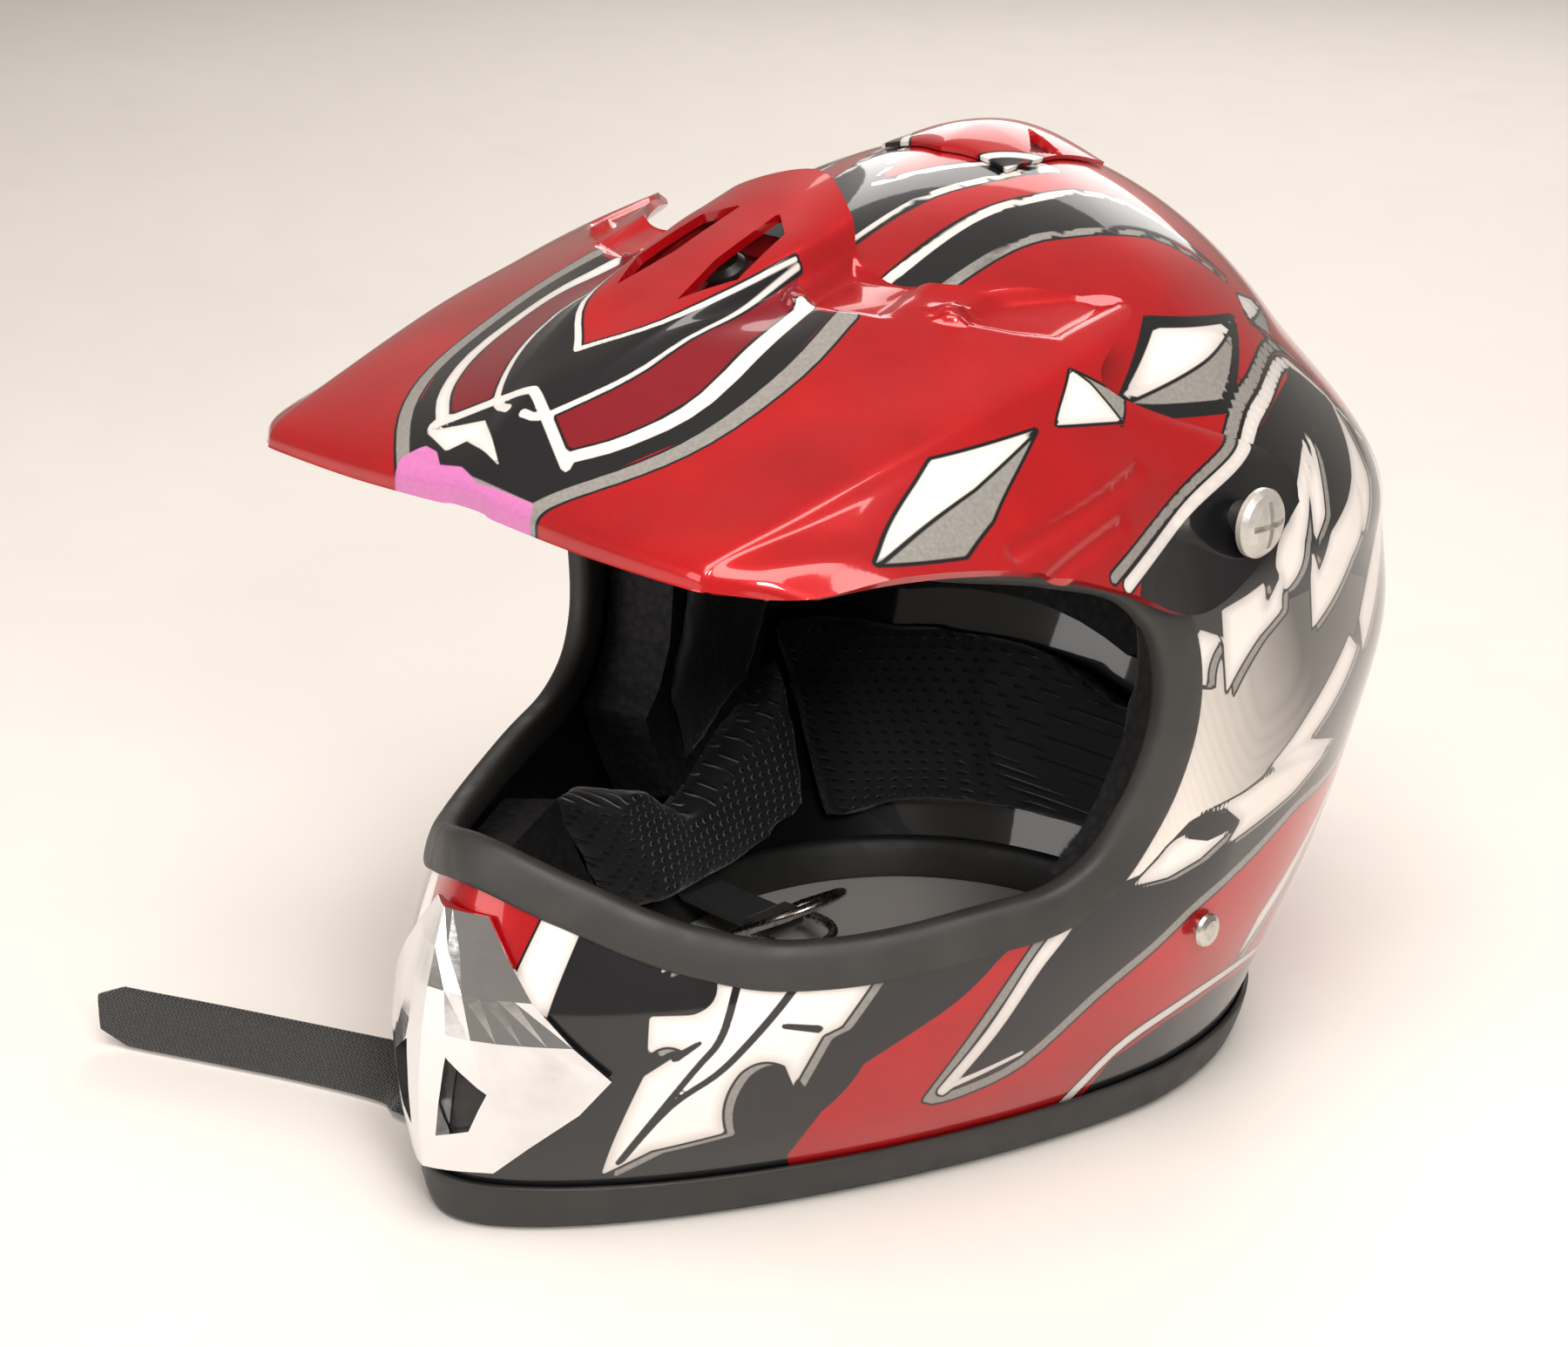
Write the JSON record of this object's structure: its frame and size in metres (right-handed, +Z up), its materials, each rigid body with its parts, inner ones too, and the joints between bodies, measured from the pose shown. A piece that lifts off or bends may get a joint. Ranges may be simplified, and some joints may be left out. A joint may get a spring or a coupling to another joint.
{
  "type": "motocross helmet",
  "caption": "Full-face off-road helmet with an adjustable peak, open eyeport, padded liner, nose vent and D-ring chin strap, shown with the strap lying out in front.",
  "frame": {"origin": "On the table plane under the bottom trim, below the middle of the head opening, on the helmet's plane of symmetry.", "axes": "+Z is up, -Y is the way the face looks, +X is the wearer's left."},
  "size_m": [0.2882, 0.3441, 0.2716],
  "materials": {
    "shell_paint": "gloss red clear coat over printed graphics",
    "peak_paint": "gloss red with printed graphics",
    "foam": "dark moulded bead foam",
    "liner_fabric": "black knitted liner cloth",
    "trim_rubber": "satin black rubber",
    "bushing_rubber": "matt black rubber",
    "screw_plastic": "silver grey moulded plastic",
    "screw_black": "black moulded plastic",
    "vent_chrome": "bright plated plastic",
    "mesh_plastic": "black moulded mesh",
    "webbing": "black woven webbing",
    "plated_steel": "plated steel"
  },
  "bodies": {
    "helmet": {"outer_shell": "shell_paint", "eps_liner": "foam", "chin_bar_eps": "foam", "comfort_liner": "liner_fabric", "cheek_pad_left": "liner_fabric", "cheek_pad_right": "liner_fabric", "neck_roll": "liner_fabric", "eyeport_trim": "trim_rubber", "bottom_trim": "trim_rubber", "tnut_left": "plated_steel", "tnut_right": "plated_steel", "tnut_center": "plated_steel", "nose_vent": "vent_chrome", "nose_vent_mesh": "mesh_plastic", "crown_vent": "shell_paint", "strap_long": "webbing", "strap_short": "webbing", "anchor_left": "plated_steel", "anchor_right": "plated_steel", "rivet_left": "plated_steel", "rivet_right": "plated_steel"},
    "visor": {"peak": "peak_paint", "peak_bushing_left": "bushing_rubber", "peak_bushing_right": "bushing_rubber"},
    "screw_left": {"peak_screw_left": "screw_plastic"},
    "screw_right": {"peak_screw_right": "screw_plastic"},
    "screw_center": {"peak_screw_center": "screw_black"},
    "ring_outer": {"d_ring_outer": "plated_steel"},
    "ring_inner": {"d_ring_inner": "plated_steel"}
  },
  "joints": [
    {"name": "peak_tilt", "type": "hinge", "parent": "helmet", "child": "visor", "pos_m": [0, -0.001, 0.188], "axis": [1, 0, 0], "range_deg": [-3, 2.5]},
    {"name": "left_screw_turn", "type": "hinge", "parent": "helmet", "child": "screw_left", "pos_m": [0.12, -0.001, 0.188], "axis": [1, 0, 0], "continuous": true},
    {"name": "right_screw_turn", "type": "hinge", "parent": "helmet", "child": "screw_right", "pos_m": [-0.12, -0.001, 0.188], "axis": [1, 0, 0], "continuous": true},
    {"name": "center_screw_turn", "type": "hinge", "parent": "helmet", "child": "screw_center", "pos_m": [0, -0.068, 0.2405], "axis": [0, -0.4695, 0.8829], "continuous": true},
    {"name": "outer_ring_swing", "type": "hinge", "parent": "helmet", "child": "ring_outer", "pos_m": [-0.052, -0.003, 0.0126], "axis": [0, 1, 0], "range_deg": [-30, 32]},
    {"name": "inner_ring_swing", "type": "hinge", "parent": "helmet", "child": "ring_inner", "pos_m": [-0.0476, -0.003, 0.0126], "axis": [0, 1, 0], "range_deg": [-20, 15]}
  ]
}
